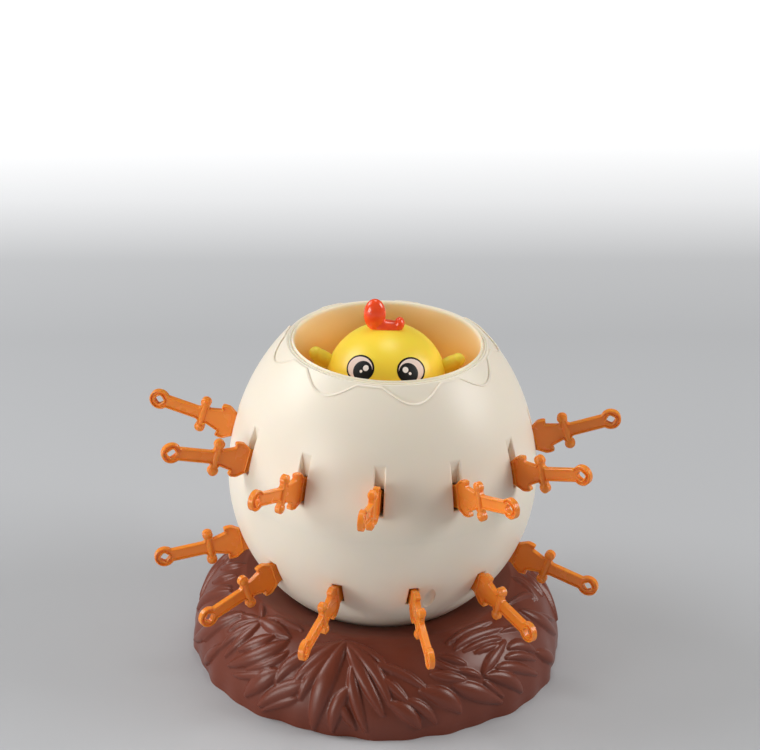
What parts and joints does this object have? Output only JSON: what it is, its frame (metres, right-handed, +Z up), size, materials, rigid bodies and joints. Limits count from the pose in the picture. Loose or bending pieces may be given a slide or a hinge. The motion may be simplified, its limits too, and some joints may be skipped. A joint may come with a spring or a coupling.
{
  "type": "pop-up chicken egg game",
  "caption": "Egg on a leafy nest with rows of slots holding small toy swords, and a round chick on a sprung stem in its open top.",
  "frame": {"origin": "centre of the underside, on the surface it stands on, under the egg's axis", "axes": "+Z up along the egg's axis; the chick faces -Y; +X is to the right seen from the front"},
  "size_m": [0.1887, 0.1896, 0.1546],
  "materials": {
    "nest_plastic": "moulded brown plastic with a leaf relief, semi-gloss",
    "screw_steel": "zinc-plated self-tapping screws and washer",
    "shell_plastic": "moulded cream plastic, satin gloss",
    "cup_plastic": "moulded peach-orange plastic, satin gloss",
    "mechanism_plastic": "natural white plastic, as moulded",
    "trigger_plastic": "pale blue slippery plastic, as moulded",
    "spring_steel": "bright drawn spring wire",
    "chick_plastic": "moulded yellow plastic, glossy, with printed eyes",
    "comb_plastic": "moulded soft red plastic, very glossy",
    "beak_plastic": "moulded orange plastic, glossy",
    "foot_plastic": "moulded orange plastic, glossy",
    "wing_plastic": "moulded amber-yellow plastic, glossy",
    "sword_plastic": "moulded orange plastic, glossy"
  },
  "bodies": {
    "root": {"base_cover": "nest_plastic", "base_screw_1": "screw_steel", "base_screw_2": "screw_steel", "base_screw_3": "screw_steel", "base_screw_4": "screw_steel", "nest_base": "nest_plastic", "egg_lower_shell": "shell_plastic", "egg_upper_shell": "shell_plastic", "inner_cup": "cup_plastic", "mechanism_chassis": "mechanism_plastic"},
    "rotor": {"selector_rotor": "mechanism_plastic", "rotor_cap": "mechanism_plastic", "cap_screw_1": "screw_steel", "cap_screw_2": "screw_steel", "rotor_washer": "screw_steel", "rotor_screw": "screw_steel", "launch_spring": "spring_steel", "trigger_spring": "spring_steel"},
    "trigger": {"trigger_slide": "trigger_plastic"},
    "plunger": {"plunger": "mechanism_plastic"},
    "chick": {"chick_body": "chick_plastic", "chick_stem": "chick_plastic", "chick_comb": "comb_plastic", "chick_beak": "beak_plastic", "chick_wing_left": "wing_plastic", "chick_wing_right": "wing_plastic", "chick_foot_left": "foot_plastic", "chick_foot_right": "foot_plastic"},
    "sword_upper_01": {"sword_upper_01": "sword_plastic"},
    "sword_upper_02": {"sword_upper_02": "sword_plastic"},
    "sword_upper_03": {"sword_upper_03": "sword_plastic"},
    "sword_upper_04": {"sword_upper_04": "sword_plastic"},
    "sword_upper_07": {"sword_upper_07": "sword_plastic"},
    "sword_upper_10": {"sword_upper_10": "sword_plastic"},
    "sword_upper_11": {"sword_upper_11": "sword_plastic"},
    "sword_upper_12": {"sword_upper_12": "sword_plastic"},
    "sword_lower_01": {"sword_lower_01": "sword_plastic"},
    "sword_lower_02": {"sword_lower_02": "sword_plastic"},
    "sword_lower_03": {"sword_lower_03": "sword_plastic"},
    "sword_lower_06": {"sword_lower_06": "sword_plastic"},
    "sword_lower_07": {"sword_lower_07": "sword_plastic"},
    "sword_lower_10": {"sword_lower_10": "sword_plastic"},
    "sword_lower_11": {"sword_lower_11": "sword_plastic"},
    "sword_lower_12": {"sword_lower_12": "sword_plastic"}
  },
  "joints": [
    {"name": "rotor_turn", "type": "hinge", "parent": "root", "child": "rotor", "pos_m": [0, 0, 0.033], "axis": [0, 0, 1], "continuous": true},
    {"name": "trigger_press", "type": "slide", "parent": "rotor", "child": "trigger", "axis": [0.1305, -0.9914, 0], "range_m": [0, 0.0018], "deforming": ["trigger_spring"]},
    {"name": "plunger_rise", "type": "slide", "parent": "rotor", "child": "plunger", "axis": [0, 0, 1], "range_m": [0, 0.018], "deforming": ["launch_spring"]},
    {"name": "chick_lift", "type": "slide", "parent": "plunger", "child": "chick", "axis": [0, 0, 1], "range_m": [0, 0.092]},
    {"name": "sword_upper_01_pull", "type": "slide", "parent": "root", "child": "sword_upper_01", "axis": [-0.1504, -0.9494, 0.2756], "range_m": [0, 0.028]},
    {"name": "sword_upper_02_pull", "type": "slide", "parent": "root", "child": "sword_upper_02", "axis": [0.6049, -0.747, 0.2756], "range_m": [0, 0.028]},
    {"name": "sword_upper_03_pull", "type": "slide", "parent": "root", "child": "sword_upper_03", "axis": [0.7928, -0.5348, 0.2924], "range_m": [0, 0.028]},
    {"name": "sword_upper_04_pull", "type": "slide", "parent": "root", "child": "sword_upper_04", "axis": [0.9391, -0.0328, 0.342], "range_m": [0, 0.028]},
    {"name": "sword_upper_07_pull", "type": "slide", "parent": "root", "child": "sword_upper_07", "axis": [-0.0677, 0.9679, 0.2419], "range_m": [0, 0.028]},
    {"name": "sword_upper_10_pull", "type": "slide", "parent": "root", "child": "sword_upper_10", "axis": [-0.9583, 0.1518, 0.2419], "range_m": [0, 0.028]},
    {"name": "sword_upper_11_pull", "type": "slide", "parent": "root", "child": "sword_upper_11", "axis": [-0.8996, -0.3635, 0.2419], "range_m": [0, 0.028]},
    {"name": "sword_upper_12_pull", "type": "slide", "parent": "root", "child": "sword_upper_12", "axis": [-0.4806, -0.8325, 0.2756], "range_m": [0, 0.028]},
    {"name": "sword_lower_01_pull", "type": "slide", "parent": "root", "child": "sword_lower_01", "axis": [0.2337, -0.9372, -0.2588], "range_m": [0, 0.028]},
    {"name": "sword_lower_02_pull", "type": "slide", "parent": "root", "child": "sword_lower_02", "axis": [0.6156, -0.7602, -0.2079], "range_m": [0, 0.028]},
    {"name": "sword_lower_03_pull", "type": "slide", "parent": "root", "child": "sword_lower_03", "axis": [0.9174, -0.3159, -0.2419], "range_m": [0, 0.028]},
    {"name": "sword_lower_06_pull", "type": "slide", "parent": "root", "child": "sword_lower_06", "axis": [0.1524, 0.9624, -0.225], "range_m": [0, 0.028]},
    {"name": "sword_lower_07_pull", "type": "slide", "parent": "root", "child": "sword_lower_07", "axis": [-0.1488, 0.9393, -0.309], "range_m": [0, 0.028]},
    {"name": "sword_lower_10_pull", "type": "slide", "parent": "root", "child": "sword_lower_10", "axis": [-0.9596, -0.2215, -0.1736], "range_m": [0, 0.028]},
    {"name": "sword_lower_11_pull", "type": "slide", "parent": "root", "child": "sword_lower_11", "axis": [-0.7551, -0.569, -0.3256], "range_m": [0, 0.028]},
    {"name": "sword_lower_12_pull", "type": "slide", "parent": "root", "child": "sword_lower_12", "axis": [-0.3319, -0.9118, -0.2419], "range_m": [0, 0.028]}
  ]
}
